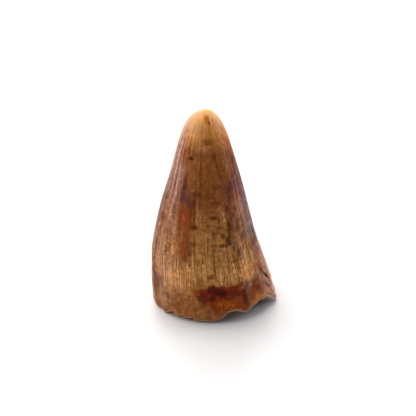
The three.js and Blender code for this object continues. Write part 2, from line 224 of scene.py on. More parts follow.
# region: kind: (angle, height, half width in degrees, half length, strength) of each stain
STAINS_AND_PAINTED_LIGHT = {
    "cap": {
        "olive": [(-14, 35.2, 13, 1.3, 0.2), (2, 35.0, 9, 1.0, 0.2), (3, 33.2, 5, 0.6, 0.7),
            (-17, 33.0, 5, 0.4, 0.35)],
        "orange": [(12, 36.85, 15, 0.3, 0.95), (8, 36.4, 9, 0.45, 0.7), (39, 36.5, 5, 0.28, 0.5),
            (38, 35.7, 5, 0.3, 0.35), (12, 34.4, 20, 0.8, 0.35), (55, 33.2, 16, 0.6, 0.3),
            (24, 35.2, 20, 1.2, 0.22), (22, 33.6, 20, 0.8, 0.3), (64, 34.3, 14, 1.3, 0.2)],
        "russet": [(22, 36.15, 7, 0.36, 0.75)],
        "rust": [(16, 36.2, 9, 0.4, 0.4), (20, 35.5, 10, 0.4, 0.3), (14, 34.6, 18, 0.5, 0.12),
            (66, 33.4, 12, 0.9, 0.25), (-34, 33.1, 16, 0.6, 0.35), (42, 33.1, 13, 0.7, 0.3),
            (6, 32.8, 14, 0.4, 0.3), (66, 32.6, 9, 0.5, 0.4), (72, 31.6, 13, 0.9, 0.35)],
        # The pale patch at -66 paints the sheen on the left flank.
        "pale": [(45, 35.6, 14, 1.2, 0.25), (-66, 32.2, 9, 0.8, 0.4), (-32, 34.7, 18, 1.0, 0.35)],
        "umber": [(16, 33.2, 13, 0.55, 0.4)],
    },
    "under the cap": {
        "umber": [(-29.5, 30.45, 3.2, 0.3, 1.0), (-25.5, 30.1, 2.4, 0.24, 0.9), (-4, 30.9, 18, 0.45, 0.35),
            (18, 30.4, 3, 0.6, 0.35), (33.5, 28.8, 1.8, 0.22, 0.7), (24.5, 30.7, 2, 0.6, 0.4),
            (27, 28.9, 1.6, 0.5, 0.35), (29.5, 27.2, 1.6, 0.5, 0.35)],
        "rust": [(-45, 30.3, 5, 0.8, 0.35), (-41, 31.6, 6, 0.5, 0.3), (-32, 27.8, 3.5, 0.35, 0.6),
            (-40, 29.2, 7, 0.9, 0.2), (48, 31.0, 9, 1.2, 0.25), (50, 29.0, 9, 1.6, 0.4)],
        # The pale line at 50 paints a streak of sheen.
        "pale": [(-42, 28.4, 6, 1.1, 0.3), (50, 30.9, 3, 0.5, 0.45), (47, 28.6, 3, 0.6, 0.2)],
        "olive": [(-8, 28.0, 3, 1.2, 0.6), (-22, 27.6, 3, 0.5, 0.4), (12, 28.3, 3, 0.7, 0.4)],
        "honey": [(18, 28.7, 4, 0.5, 0.2)],
        "violet": [(53, 30.3, 3.2, 0.45, 0.85), (66, 29.2, 9, 0.9, 0.5)],
    },
    "dark violet band across the right shoulder": {
        "violet": [(64, 27.1, 6, 0.6, 0.75), (57, 26.5, 6, 0.7, 0.85), (51, 25.6, 7, 0.8, 0.85),
            (44, 24.8, 7, 0.9, 0.8), (38, 24.0, 4, 0.9, 0.6), (61, 24.6, 7, 0.9, 0.5),
            (65, 22.8, 4, 0.6, 0.5), (72, 23.4, 12, 2.2, 0.4)],
        "slate": [(58, 26.3, 6, 0.3, 0.3), (53, 25.5, 6, 0.4, 0.35), (39, 23.6, 3, 0.7, 0.3)],
        "umber": [(56, 24.1, 3, 0.25, 0.6)],
        "rust": [(52, 23.2, 9, 0.6, 0.4)],
        "pale": [(45, 28.5, 6, 0.8, 0.25), (50, 19.6, 10, 3.6, 0.35)],
        "honey": [(42, 29.8, 10, 2.0, 0.25)],
    },
    "violet patch and painted shade at the left edge": {
        "violet": [(-36, 26.0, 5, 1.1, 0.5), (-34, 24.6, 8, 1.1, 0.65), (-30, 23.4, 8, 0.8, 0.7),
            (-26, 22.6, 8, 0.6, 0.6), (-79, 22.0, 9, 4.2, 0.8), (-70, 22.5, 5, 0.9, 0.7)],
        # The umber at -81 and -79 is painted shade along the left edge, where the crown turns away from the
        # lamps.
        "umber": [(-33, 24.2, 7, 0.25, 0.5), (-81, 22.4, 9, 3.6, 0.6), (-81, 16.5, 9, 4.0, 0.6),
            (-79, 10.0, 12, 2.6, 0.6), (-66, 22.0, 6, 1.4, 0.25), (-56, 25.2, 1.5, 0.3, 0.5)],
        "orange": [(-44, 22.6, 2.2, 0.35, 0.45)],
    },
    "dark middle": {
        "umber": [(-14, 24.2, 8, 0.5, 0.75), (-8, 25.3, 16, 0.4, 0.3), (6, 23.9, 10, 0.6, 0.4),
            (22, 25.3, 12, 0.6, 0.45), (18, 22.7, 8, 0.3, 0.6), (-17, 22.9, 4, 0.6, 0.7),
            (-3, 23.6, 5, 0.4, 0.3), (33, 23.0, 4, 0.8, 0.2)],
        "rust": [(-7, 22.2, 3, 0.5, 0.4), (12, 24.3, 5, 0.6, 0.3)],
    },
    "golden blocks and the blotches between": {
        "honey": [(-8, 20.6, 4.5, 1.3, 0.5), (-6, 19.0, 3.5, 0.9, 0.5), (1, 20.6, 3, 0.9, 0.15),
            (27.5, 19.9, 3.2, 1.7, 0.5), (22, 21.5, 2.5, 0.5, 0.5), (14, 18.8, 2.5, 0.6, 0.4),
            (4, 16.9, 3.5, 0.9, 0.45), (-7, 17.0, 3, 0.6, 0.35)],
        "umber": [(14, 20.0, 6, 0.3, 0.85), (7, 20.4, 3, 0.25, 0.5), (33.5, 21.4, 2.4, 0.7, 0.75),
            (34, 18.4, 2.4, 1.0, 0.95), (33, 16.8, 2.6, 0.9, 0.75), (31, 15.4, 3, 0.8, 0.85),
            (-17, 18.1, 3.4, 0.35, 0.85), (-11, 18.3, 3.4, 0.35, 0.75), (-14.5, 20.2, 1.6, 1.9, 0.75),
            (-20, 21.3, 4, 1.2, 0.5), (21, 18.2, 2.5, 0.3, 0.7), (6, 18.5, 1.6, 0.35, 0.6),
            (12.5, 17.1, 2, 0.45, 0.75), (18, 17.4, 1.8, 0.5, 0.6), (15, 16.4, 4, 0.25, 0.7),
            (24, 16.6, 2.6, 0.5, 0.7), (20.5, 19.3, 1.6, 0.5, 0.5), (2, 17.9, 2.6, 0.22, 0.5),
            (12, 15.0, 5, 0.26, 0.65), (22, 14.9, 3.6, 0.34, 0.9), (29.5, 14.8, 3, 0.22, 0.8),
            (11.5, 14.1, 3, 0.3, 0.75), (18, 13.9, 3, 0.3, 0.5), (-6, 15.3, 5, 0.25, 0.4)],
        "chalk": [(9.5, 16.6, 0.9, 0.14, 0.4), (31.3, 14.5, 0.9, 0.14, 0.6)],
    },
    "rust streak": {
        "rust": [(-31, 21.2, 5, 1.0, 0.6), (-24, 19.6, 6, 0.9, 0.6), (-25, 13.8, 6, 1.4, 0.5)],
        "orange": [(-27, 19.6, 3, 0.45, 0.15), (-27.5, 17.3, 3.2, 0.8, 0.2), (-25, 15.9, 3, 0.6, 0.15)],
        "russet": [(-27, 18.6, 4, 0.4, 0.5), (-26, 15.2, 4, 0.6, 0.35), (-14, 14.0, 3, 0.5, 0.4)],
        "umber": [(-24, 16.2, 3, 0.35, 0.35), (-27, 16.9, 1.8, 0.3, 0.5), (-31, 18.9, 3, 0.35, 0.35),
            (-18.5, 13.3, 1.6, 0.45, 0.6), (-14, 15.2, 4, 0.6, 0.5), (-27, 12.3, 9, 0.5, 0.45),
            (-40, 12.6, 5, 0.4, 0.15)],
        "pale": [(-30, 16.0, 2.5, 0.6, 0.4), (-23, 18.0, 2, 0.5, 0.35)],
    },
    "mottled right shoulder": {
        "rust": [(48, 20.6, 11, 3.4, 0.4), (63, 13.2, 5, 0.9, 0.6)],
        "umber": [(46, 17.2, 8, 1.6, 0.35), (47, 20.9, 5, 0.7, 0.35), (60, 17.6, 5, 0.8, 0.35),
            (36, 14.0, 1.6, 0.5, 0.75), (33.5, 12.7, 2, 0.5, 0.6), (42.5, 20.1, 1.8, 0.4, 0.8),
            (49, 18.9, 3, 0.3, 0.6), (55, 19.0, 2.6, 0.35, 0.55), (46, 17.6, 3, 0.45, 0.5),
            (53, 17.4, 3.5, 0.3, 0.55), (47, 21.0, 2, 0.3, 0.4), (50, 22.6, 3, 0.25, 0.45)],
        "violet": [(56, 15.2, 9, 0.7, 0.5), (62, 14.0, 4, 0.8, 0.45), (38, 20.0, 1.6, 0.8, 0.4),
            (41, 13.2, 2.6, 0.9, 0.8), (56, 18.5, 4, 0.5, 0.6), (49, 15.6, 2.4, 0.6, 0.75),
            (58, 16.4, 5, 0.5, 0.5), (49.5, 13.9, 1.6, 0.35, 0.7)],
        "slate": [(38, 14.9, 2.6, 0.7, 0.75), (66, 16.0, 6, 0.7, 0.6), (72, 15.0, 6, 0.9, 0.55),
            (62, 16.6, 4, 0.4, 0.5), (57, 15.3, 4, 0.35, 0.5), (79, 14.0, 6, 1.4, 0.5)],
        "honey": [(57, 20.0, 4, 0.3, 0.5), (65, 20.0, 5, 0.3, 0.5), (44, 18.9, 2, 0.3, 0.4),
            (50, 20.8, 1.6, 0.3, 0.4), (51, 16.4, 2.4, 0.2, 0.5), (49, 22.2, 2, 0.25, 0.35)],
    },
    "left flank": {
        "violet": [(-75, 19.0, 10, 1.8, 0.75), (-76, 16.4, 9, 1.2, 0.55), (-68, 13.8, 7, 0.7, 0.7),
            (-56, 16.9, 2, 0.5, 0.4)],
        "umber": [(-66, 18.7, 9, 0.9, 0.5), (-72, 17.0, 9, 7.0, 0.16), (-58, 7.6, 7, 0.6, 0.35),
            (-59, 18.2, 3, 0.8, 0.35), (-70, 12.4, 8, 3.0, 0.3)],
        "rust": [(-63, 9.4, 8, 1.6, 0.45), (-54, 9.0, 5, 1.0, 0.3)],
        # The chalk spot is a painted highlight.
        "chalk": [(-68, 17.0, 2.0, 0.35, 0.45)],
        "pale": [(-44, 18.2, 4, 1.5, 0.3)],
        "slate": [(-77, 25.5, 7, 2.6, 0.5)],
    },
    "light band": {
        "honey": [(52, 11.6, 5, 1.6, 0.8), (61, 10.6, 5, 1.3, 0.45), (66, 11.8, 3.5, 0.5, 0.35),
            (52, 7.9, 9, 0.35, 0.8), (17, 9.2, 3, 1.4, 0.4), (22, 7.9, 8, 0.35, 0.5)],
        "rust": [(63, 8.4, 5, 0.7, 0.4), (59, 12.9, 5, 0.8, 0.45), (55, 9.2, 7, 0.6, 0.35),
            (64, 9.4, 5, 1.8, 0.6), (69, 11.6, 4, 2.0, 0.35), (50, 9.0, 8, 0.4, 0.3),
            (37.3, 10.2, 1.8, 0.9, 0.65)],
        "pale": [(68, 9.6, 3, 0.8, 0.35), (46, 13.0, 4, 1.2, 0.35), (45, 11.3, 2.4, 0.6, 0.35),
            (-46, 9.6, 5, 1.5, 0.35), (-29, 11.2, 6, 0.5, 0.3)],
        "orange": [(57, 9.8, 3, 0.8, 0.35), (5, 9.3, 5, 0.5, 0.4), (-15, 7.9, 4.5, 0.8, 0.5),
            (-20, 9.7, 3, 0.4, 0.45), (-20.5, 8.5, 2.2, 0.3, 0.4)],
        "russet": [(66, 8.6, 4, 0.8, 0.4), (5, 9.1, 3.8, 0.45, 0.75)],
        "violet": [(69, 12.6, 5, 1.2, 0.5)],
        "umber": [(-5, 8.4, 5, 0.5, 0.4), (34, 11.7, 4, 0.26, 0.65), (-2, 12.0, 1.8, 0.4, 0.7),
            (-9, 12.0, 3.5, 0.3, 0.4)],
        "chalk": [(-20.8, 10.9, 1.0, 0.2, 0.45)],
    },
    "below the band": {
        "russet": [(50, 5.4, 9, 1.3, 0.4), (56, 4.6, 12, 0.9, 0.4), (44, 3.9, 6, 1.2, 0.5),
            (57, 6.0, 6, 0.8, 0.5), (51, 5.8, 1.8, 0.7, 0.7), (60, 4.9, 6, 0.7, 0.35)],
        "umber": [(58, 5.6, 7, 1.0, 0.35), (25, 6.6, 12, 0.6, 0.2), (46, 5.2, 6, 1.2, 0.1),
            (-9, 5.0, 4, 0.6, 0.5), (2, 2.3, 8, 0.5, 0.3), (41, 3.6, 2.5, 1.2, 0.4),
            (-8, 4.6, 4, 0.8, 0.4)],
        "orange": [(-4, 7.5, 8, 0.4, 0.4), (22, 3.6, 14, 1.2, 0.42), (30, 4.6, 5, 0.5, 0.2),
            (6, 3.9, 8, 0.5, 0.25), (-14, 6.3, 3, 0.5, 0.4), (52, 3.4, 6, 0.7, 0.65)],
        "rust": [(50, 4.6, 10, 1.4, 0.3), (-4, 3.0, 6, 0.9, 0.4), (76, 2.6, 9, 2.2, 0.15),
            (-30, 3.6, 18, 2.6, 0.35)],
        "pale": [(47, 6.2, 7, 0.8, 0.35)],
        "maroon": [(7, 6.5, 9, 0.9, 0.85), (14, 5.9, 9, 0.7, 0.85), (3, 4.9, 5, 0.6, 0.8),
            (27, 5.8, 9, 1.0, 0.35), (-6, 5.7, 4, 0.5, 0.5), (37, 4.6, 2.4, 1.6, 0.6)],
        "violet": [(42, 6.5, 3.5, 0.9, 0.7), (42, 4.6, 3.5, 2.0, 0.6), (58, 6.8, 6, 0.8, 0.5),
            (66, 4.6, 5, 0.9, 0.4), (68, 7.2, 4, 1.2, 0.45)],
        "olive": [(-10, 3.4, 4, 0.6, 0.35)],
        "slate": [(41, 6.7, 1.6, 0.6, 0.5)],
        "honey": [(57, 3.0, 7, 0.6, 0.6)],
        "chalk": [(37.6, 6.25, 0.9, 0.16, 0.95)],
    },
    "chipped keel": {
        "pale": [(80, 2.8, 6, 2.0, 0.8)],
    },
    "left of the base": {
        "umber": [(-68, 5.2, 9, 2.2, 0.7), (-54, 5.2, 6, 1.2, 0.4), (-46, 4.2, 5, 0.5, 0.3),
            (-35, 4.6, 9, 1.6, 0.4), (-33, 2.6, 8, 0.8, 0.3), (-40, 2.6, 4, 0.5, 0.3)],
        "violet": [(-72, 7.5, 10, 1.5, 0.8), (-56, 6.8, 6, 0.9, 0.75)],
        "pale": [(-51, 3.2, 2.6, 0.5, 0.4), (-55, 1.8, 2.6, 0.45, 0.4)],
    },
    "back and far sides": {
        "umber": [(180, 18.0, 55, 15.0, 0.45), (-135, 18.0, 30, 14.0, 0.25), (160, 20, 22, 4, 0.5),
            (118, 5.2, 12, 1.6, 0.6), (-172, 29.5, 12, 2.5, 0.4), (-178, 14.5, 12, 0.4, 0.5)],
        "pale": [(122, 26, 9, 6, 0.5), (-128, 22, 12, 8, 0.55)],
        "violet": [(-104, 17, 9, 5, 0.5)],
        "rust": [(145, 14, 5, 4, 0.7), (-160, 11, 6, 3, 0.6)],
        "russet": [(172, 4.8, 30, 2.2, 0.85)],
        "maroon": [(172, 5.4, 18, 1.2, 0.8), (-142, 4.2, 14, 1.3, 0.7)],
        "orange": [(-150, 6.3, 6, 0.8, 0.5)],
        "slate": [(-118, 12, 9, 2.4, 0.5)],
        "honey": [(178, 17.5, 5, 3, 0.6), (150, 11, 6, 2, 0.5)],
    },
}
# kind, half width, strength, [(height, angle), ...] of a long thin streak; most are stains, some are painted
# shade in grooves and chips and painted sheen
STREAKS_AND_PAINTED_LIGHT = [
    ("rust", 1.1, 0.55, [(11.6, -20), (12.3, -22), (13.2, -25), (15, -27), (17, -28), (19, -28), (22, -30)]),
    ("rust", 0.6, 0.5, [(13.5, -21), (16, -22), (18, -22), (21, -24)]),
    ("rust", 0.5, 0.4, [(16, -33), (18, -33), (21, -35)]),
    # Along the left groove: umber lines painted as shade in its crease.
    ("umber", 0.15, 0.4, [(21.5, -52), (25.5, -55), (27, -53), (29, -57), (31, -57), (32.5, -54)]),
    ("umber", 0.12, 0.3, [(32.5, -54), (34, -52), (35, -56)]),
    ("umber", 0.12, 0.45, [(22.0, -41), (24.2, -45), (25.5, -48), (28, -50)]),
    # Painted sheen: a pale strip down the left flank.
    ("pale", 0.35, 0.7, [(26.5, -59), (29, -60), (32, -62), (34, -64)]),
    ("pale", 0.25, 0.5, [(22.5, -48), (24.5, -47), (27, -46)]),
    ("umber", 0.18, 0.35, [(26, 32), (27.4, 28.5), (29.2, 26), (31.5, 24)]),
    ("umber", 0.2, 0.25, [(26.6, -10), (28, -9), (29.5, -6)]),
    # A groove from 37 to 40 degrees, painted: violet shade in it and a slate highlight along it.
    ("violet", 0.32, 0.5, [(15.4, 37), (17, 37), (19, 37.5), (21, 38), (24, 40)]),
    ("slate", 0.1, 0.3, [(16, 38), (19, 38), (21, 38)]),
    # Painted sheen: a pale line on the right shoulder.
    ("pale", 0.2, 0.35, [(29, 46), (31, 48.5), (32.2, 50)]),
    ("umber", 0.15, 0.9, [(2.6, 39.3), (5, 38.5), (8, 38)]),
    ("umber", 0.11, 0.6, [(9, -12), (12, -12.2), (17, -12), (19, -11)]),
    ("umber", 0.12, 0.65, [(8.2, 10.5), (11, 10.5), (14.5, 12)]),
    ("umber", 0.12, 0.7, [(8.2, 19.5), (9.6, 20), (11.5, 19.5)]),
    ("umber", 0.12, 0.55, [(9.5, 27), (13, 27.5), (16, 28)]),
    ("umber", 0.1, 0.6, [(11, 3), (14, 4), (17, 5)]),
    ("umber", 0.1, 0.5, [(13, 0.5), (15.4, 0)]),
    ("umber", 0.12, 0.6, [(10, -16), (13, -16.5), (15.5, -15.5)]),
    # The chips on the right keel: the umber lines paint the shadows under their edges; the pale lines run
    # along their lips.
    ("umber", 0.22, 1.0, [(4.9, 77), (5.6, 76), (6.3, 74.2), (7.4, 73.5)]),
    ("pale", 0.22, 1.0, [(4.6, 84), (5.4, 81), (6.2, 78), (7.0, 76)]),
    ("umber", 0.25, 1.0, [(3.4, 72.5), (4.2, 72.5), (5.3, 69.5)]),
    ("pale", 0.22, 1.0, [(4.0, 76), (4.6, 75.5), (5.4, 72), (6.0, 68.5)]),
    ("violet", 0.35, 0.6, [(6, 132), (18, 134), (31, 137)]),
    ("umber", 0.25, 0.7, [(4, 151), (20, 150), (31, 152)]),
    ("umber", 0.3, 0.6, [(5, -140), (17, -138), (30, -141)]),
]
STAIN_AND_LIGHT_LUMPS = (1.1, 1.1, 1.3)  # the lumps of the ragged edge of each stain and painted patch
STAIN_AND_LIGHT_RAGGEDNESS = 0.5
STAIN_AND_LIGHT_SQUARENESS = 2.4
STREAK_END = 0.6  # the length over which a streak dies out
# (angle, height of the lower edge of the light band)
BAND_FOOT = [
    (-180, 7.6), (-150, 6.9), (-120, 8.0), (-82, 8.6), (-60, 7.8), (-52, 6.6), (-40, 5.8), (-25, 6.0),
    (-18, 6.8), (-8, 6.9), (-1, 7.1), (1, 7.7), (6, 7.7), (14, 7.4), (29, 7.2), (33, 7.5), (38, 8.0),
    (43, 7.6), (50, 7.4), (60, 8.0), (90, 7.9), (120, 7.2), (150, 8.4), (180, 7.6),
]
BAND_FOOT_HEIGHT = 6.8  # where the enamel's colours put the band's lower edge
BAND_BLEND = (9.0, 15.0)  # the band's own wander dies out between these heights
# (angle, height of the lower edge of the pale cap)
CAP_FOOT = [
    (-180, 33.0), (-90, 33.0), (-55, 33.3), (-35, 33.1), (-15, 33.2), (0, 33.3), (20, 33.1), (40, 32.5),
    (55, 32.2), (75, 32.2), (110, 32.8), (180, 33.0),
]
CAP_FOOT_HEIGHT = 32.9
# (height, angle) of the left side of the dark red-brown below the band
DAMP_LEFT = [(0, 8), (2.2, 2), (3.6, -5), (4.8, -13), (6.8, -17)]
DAMP_BLEND = 5.0  # how softly it comes in there
DAMP_RIGHT = (36, 39.5)  # and the angles between which it goes out
DAMP_FADE = [(0, 0.15), (1.2, 0.4), (2.6, 0.72), (4.2, 0.95)]  # (height, how strong it is)
DAMP_WANDER = 0.5  # how far its edge strays
DAMP_EDGE = (-0.15, 0.35)  # and comes in between these depths under the band's edge
RIM_FADE = (0.28, 0.62)  # the pale line along the break dies out between these heights above it
RIM_PALENESS = 0.85
WRINKLE_LEAN = 1.2  # degrees by which the root's wrinkles lean, for each millimetre up
WRINKLE_EDGE = (-0.4, 0.8)  # the wrinkles come in between these depths under the band
CAP_BLEND = (28.5, 31.5)  # the cap's own wander comes in between these heights
WORN_DEPTH = (1.0, 7.0)  # ribs and striae fade in between these depths below the polished tip
# (height, how cracked by drying the enamel is)
DRYNESS = [
    (0, 0.12), (6.4, 0.2), (7.6, 1.0), (12.5, 1.0), (16, 0.65), (21, 0.4), (31, 0.2), (33, 0.08), (36, 0),
]


# ---------- shape formulas, on whole arrays ----------


def smoothstep(values, low, high):
    share = np.clip((values - low) / (high - low), 0, 1)
    return share * share * (3 - 2 * share)


def either(first, second):
    """Two shares of cover laid over each other."""
    return 1 - (1 - first) * (1 - second)


def turn_between(angles, start):
    """The difference between angles and a start, from -180 to 180."""
    return (angles - start + 180) % 360 - 180


def from_table(table, places):
    """Straight-line interpolation in a table of (angle or height, value)."""
    return np.interp(places, [place for place, _ in table], [value for _, value in table])


def depth_root(heights):
    """The root of the depth below the tip. In it a round tip's reach is a smooth curve."""
    return np.sqrt(np.clip(HEIGHT - np.asarray(heights), 0, None) / HEIGHT)


def reach_at(side, heights):
    """A smooth cubic through the reach stations of one side."""
    root = depth_root(heights)
    knots = depth_root(REACH["height"])
    values = np.array(REACH[side])
    gaps = np.diff(knots)
    rises = np.diff(values) / gaps
    middle = (rises[:-1] * gaps[1:] + rises[1:] * gaps[:-1]) / (gaps[1:] + gaps[:-1])
    slopes = np.concatenate([rises[:1], middle, rises[-1:]])
    k = np.clip(np.searchsorted(knots, root, side="right") - 1, 0, len(gaps) - 1)
    t = (root - knots[k]) / gaps[k]
    start = (1 + 2 * t) * (1 - t) ** 2 * values[k]
    end = t * t * (3 - 2 * t) * values[k + 1]
    leaving = t * (1 - t) ** 2 * gaps[k] * slopes[k]
    arriving = t * t * (t - 1) * gaps[k] * slopes[k + 1]
    return start + end + leaving + arriving


def section_at(heights):
    """The section at a height: its middle (x, y) and its half widths (x, y)."""
    left, right, front, back = (reach_at(side, heights) for side in ("left", "right", "front", "back"))
    smallest = 1e-6
    half_x = np.maximum(smallest, (right + left) / 2)
    half_y = np.maximum(smallest, (back + front) / 2)
    return (right - left) / 2, (back - front) / 2, half_x, half_y


def lengthwise_rise(angles, heights):
    total = np.zeros_like(heights)
    for angle, half_width, rise, low, high, lean in LENGTHWISE.values():
        off = turn_between(angles, angle + lean * (heights - LEAN_HEIGHT)) / half_width
        begun = smoothstep(heights, low - RIDGE_END, low + RIDGE_END)
        ended = smoothstep(heights, high - RIDGE_END, high + RIDGE_END)
        total += rise * np.exp(-off * off) * begun * (1 - ended)
    return total


def ribbing(angles):
    return sum(depth * np.sin(np.radians(count * angles + shift)) for count, depth, shift in RIBBING)


def hollow_depth(angles, heights, radius):
    deepest = np.zeros_like(heights)
    for angle, height, half_width, half_length, depth in HOLLOWS.values():
        across = np.radians(turn_between(angles, angle)) * radius / half_width
        along = (heights - height) / half_length
        inside = np.clip(1 - across * across - along * along, 0, None)
        deepest = np.maximum(deepest, depth * np.sqrt(inside))
    return deepest


def scar_depth(angles, heights, wander):
    total = np.zeros_like(heights)
    for start, stop, height_from, height_to, depth in SCARS.values():
        span = stop - start
        into = turn_between(angles, start)
        edge = height_from + (height_to - height_from) * np.clip(into / span, 0, 1) + wander
        sides = smoothstep(into, 0, SCAR_SIDE) * (1 - smoothstep(into, span - SCAR_SIDE, span))
        total += depth * sides * (1 - smoothstep(heights, edge - SCAR_EDGE, edge))
    return total


def fractal(points, size, octaves=3):
    """Smooth noise, about -1 to 1, in lumps of the given size (one number, or one for each axis)."""
    flat = (points / np.array(size)).reshape(-1, 3).tolist()
    values = [noise.fractal(point, 1.0, 2.0, octaves) for point in flat]
    return np.array(values).reshape(points.shape[:-1])


def growth_place(angles, heights):
    """A place on the cylinder of growth: lines of equal angle on it run from the base to the tip."""
    turn = np.radians(angles)
    across = GROWTH_RADIUS * np.sin(turn)
    away = -GROWTH_RADIUS * np.cos(turn)
    return np.stack([across, away, heights + 0 * angles], axis=-1)


def outer_point(angles, heights, inset=0.0):
    """Points of the outer surface, moved in towards the section's middle by `inset`."""
    middle_x, middle_y, half_x, half_y = section_at(heights)
    sin, cos = np.sin(np.radians(angles)), np.cos(np.radians(angles))
    flatness = np.abs(sin / half_x) ** SQUARENESS + np.abs(cos / half_y) ** SQUARENESS
    radius = flatness ** (-1 / SQUARENESS)
    place = growth_place(angles, heights)
    wander = SCAR_WANDER * fractal(place, SCAR_LUMPS)
    lumps = LUMP_DEPTH * fractal(place, LUMP_SIZES)
    raised = lengthwise_rise(angles, heights) + ribbing(angles) + lumps
    sunk = hollow_depth(angles, heights, radius) + scar_depth(angles, heights, wander)
    fade = np.minimum(1, radius / RELIEF_FADE) ** 2
    reach = radius + raised * fade - sunk - inset
    return np.stack([middle_x + reach * sin, middle_y - reach * cos, heights + 0 * angles], axis=-1)


def front_gap(angles):
    start, full, fading, end, height = FRONT_GAP
    return height * smoothstep(angles, start, full) * (1 - smoothstep(angles, fading, end))


def break_edge():
    """The height of the broken edge at each column, with its splinters."""
    edge = from_table(BREAK_LINE, column_angles) + front_gap(column_angles)
    place = growth_place(column_angles, np.zeros(COLUMNS))
    splinters = np.abs(fractal(place, JAG_SIZE, 4)) * JAG_HEIGHT
    coarse = np.abs(fractal(place, COARSE_JAG_SIZE, 2)) * JAG_HEIGHT
    jagged = edge + (splinters + coarse - JAG_HEIGHT / 2) * np.clip(0.2 + edge, 0, 1)
    return jagged - jagged.min()


def crown_rings():
    """The rings of points, and for each ring how far it is outside, in the break and in the cavity."""
    edge = break_edge()
    place = growth_place(column_angles, np.zeros(COLUMNS))
    uneven = 1 + CHIP_UNEVENNESS * fractal(place + GROWTH_RADIUS, CHIP_LUMPS, 3)
    bevel = EDGE_CHIP * uneven
    set_back = EDGE_INSET * uneven
    rings, zones = [], []

    for row in range(1, OUTER_ROWS + 1):
        share = (row / OUTER_ROWS) ** ROW_CROWDING
        rings.append(outer_point(column_angles, HEIGHT + (edge + bevel - HEIGHT) * share))
        zones.append("outside")

    # Across the break: a rounded chip at the outer edge, then the rough face up to the inner edge.
    wall = from_table(WALL, column_angles)
    lift = np.minimum(edge, INNER_EDGE_LIFT)
    for row in range(1, RIM_ROWS + 1):
        chip = max(0, 1 - row / CHIP_ROWS) ** 1.5
        across = max(0, row - CHIP_ROWS) / (RIM_ROWS - CHIP_ROWS)
        inset = set_back * (1 - chip) + (wall - set_back) * across
        height = edge + bevel * chip + lift * across
        ring = outer_point(column_angles, height, inset)
        rough = np.abs(fractal(ring, BREAK_LUMPS, 4)) * BREAK_ROUGHNESS * math.sin(math.pi * across)
        ring[:, 2] += rough
        rings.append(ring)
        zones.append("break")

    # Up the cavity: the inner outline shrinks as it rises and follows the crown's lean.
    foot = rings[-1]
    foot_x, foot_y, _, _ = section_at(foot[:, 2])
    for row in range(1, CAVITY_ROWS):
        climb = row / CAVITY_ROWS
        height = foot[:, 2] + (CAVITY_TOP - foot[:, 2]) * climb
        middle_x, middle_y, _, _ = section_at(height)
        size = 1 - climb**CAVITY_TAPER
        x = middle_x + (foot[:, 0] - foot_x) * size
        y = middle_y + (foot[:, 1] - foot_y) * size
        ring = np.stack([x, y, height], axis=-1)
        rough = np.abs(fractal(ring, CAVITY_LUMPS, 4)) * math.sin(math.pi * climb)
        shrink = 1 - CAVITY_ROUGHNESS * rough
        ring[:, 0] = middle_x + (x - middle_x) * shrink
        ring[:, 1] = middle_y + (y - middle_y) * shrink
        rings.append(ring)
        zones.append("cavity")
    return rings, zones


# ---------- stains and painted light, as fields on the surface ---


def field_of_kind(kind, softness, angles, heights, radius, ragged):
    """How strongly a kind of stain and painted light covers each point, from 0 to 1."""
    clear = np.ones_like(heights)
    for places in STAINS_AND_PAINTED_LIGHT.values():
        for angle, height, half_width, half_length, strength in places.get(kind, []):
            across = abs(turn_between(angles, angle) / half_width) ** STAIN_AND_LIGHT_SQUARENESS
            along = abs((heights - height) / half_length) ** STAIN_AND_LIGHT_SQUARENESS
            outward = (across + along) ** (1 / STAIN_AND_LIGHT_SQUARENESS) + ragged
            clear *= 1 - strength * (1 - smoothstep(outward, 1 - softness, 1 + softness))
    for name, half_width, strength, line in STREAKS_AND_PAINTED_LIGHT:
        if name == kind:
            line_angle = from_table(line, heights)
            outward = np.abs(np.radians(turn_between(angles, line_angle))) * radius / half_width + ragged
            begun = smoothstep(heights, line[0][0] - STREAK_END, line[0][0] + STREAK_END)
            ended = smoothstep(heights, line[-1][0] - STREAK_END, line[-1][0] + STREAK_END)
            covered = begun * (1 - ended) * (1 - smoothstep(outward, 1 - softness, 1 + softness))
            clear *= 1 - strength * covered
    return 1 - clear


def flank_share(angles, heights, edge):
    """0 in front of a flank's edge and at the back, 1 well round it."""
    middle = from_table(edge, heights)
    round_it = np.clip((angles - middle) / FLANK_BLEND / 2 + 0.5, 0, 1)
    return round_it * (1 - smoothstep(angles, *BACK_TURN))


def below_band(angles, heights, edge):
    """0 above the light band's lower edge, 1 below it."""
    return smoothstep(from_table(BAND_FOOT, angles) - heights, *edge)


def damp_share(angles, heights):
    """How dark and red the enamel below the band is."""
    start = from_table(DAMP_LEFT, heights)
    beside = smoothstep(angles - start, -DAMP_BLEND, DAMP_BLEND) * (1 - smoothstep(angles, *DAMP_RIGHT))
    strength = from_table(DAMP_FADE, heights)
    return strength * beside * below_band(angles, heights, DAMP_EDGE)


def rim_share(angles, heights):
    """How pale the enamel's edge is along the break."""
    above = heights - from_table(BREAK_LINE, angles) - front_gap(angles)
    return RIM_PALENESS * (1 - smoothstep(above, *RIM_FADE))


def band_height(angles, heights):
    """The height at which a point takes its colour, so that the edges of band and cap wander."""
    foot = BAND_FOOT_HEIGHT - from_table(BAND_FOOT, angles)
    cap = CAP_FOOT_HEIGHT - from_table(CAP_FOOT, angles)
    return heights + foot * (1 - smoothstep(heights, *BAND_BLEND)) + cap * smoothstep(heights, *CAP_BLEND)


# ---------- node trees ----------


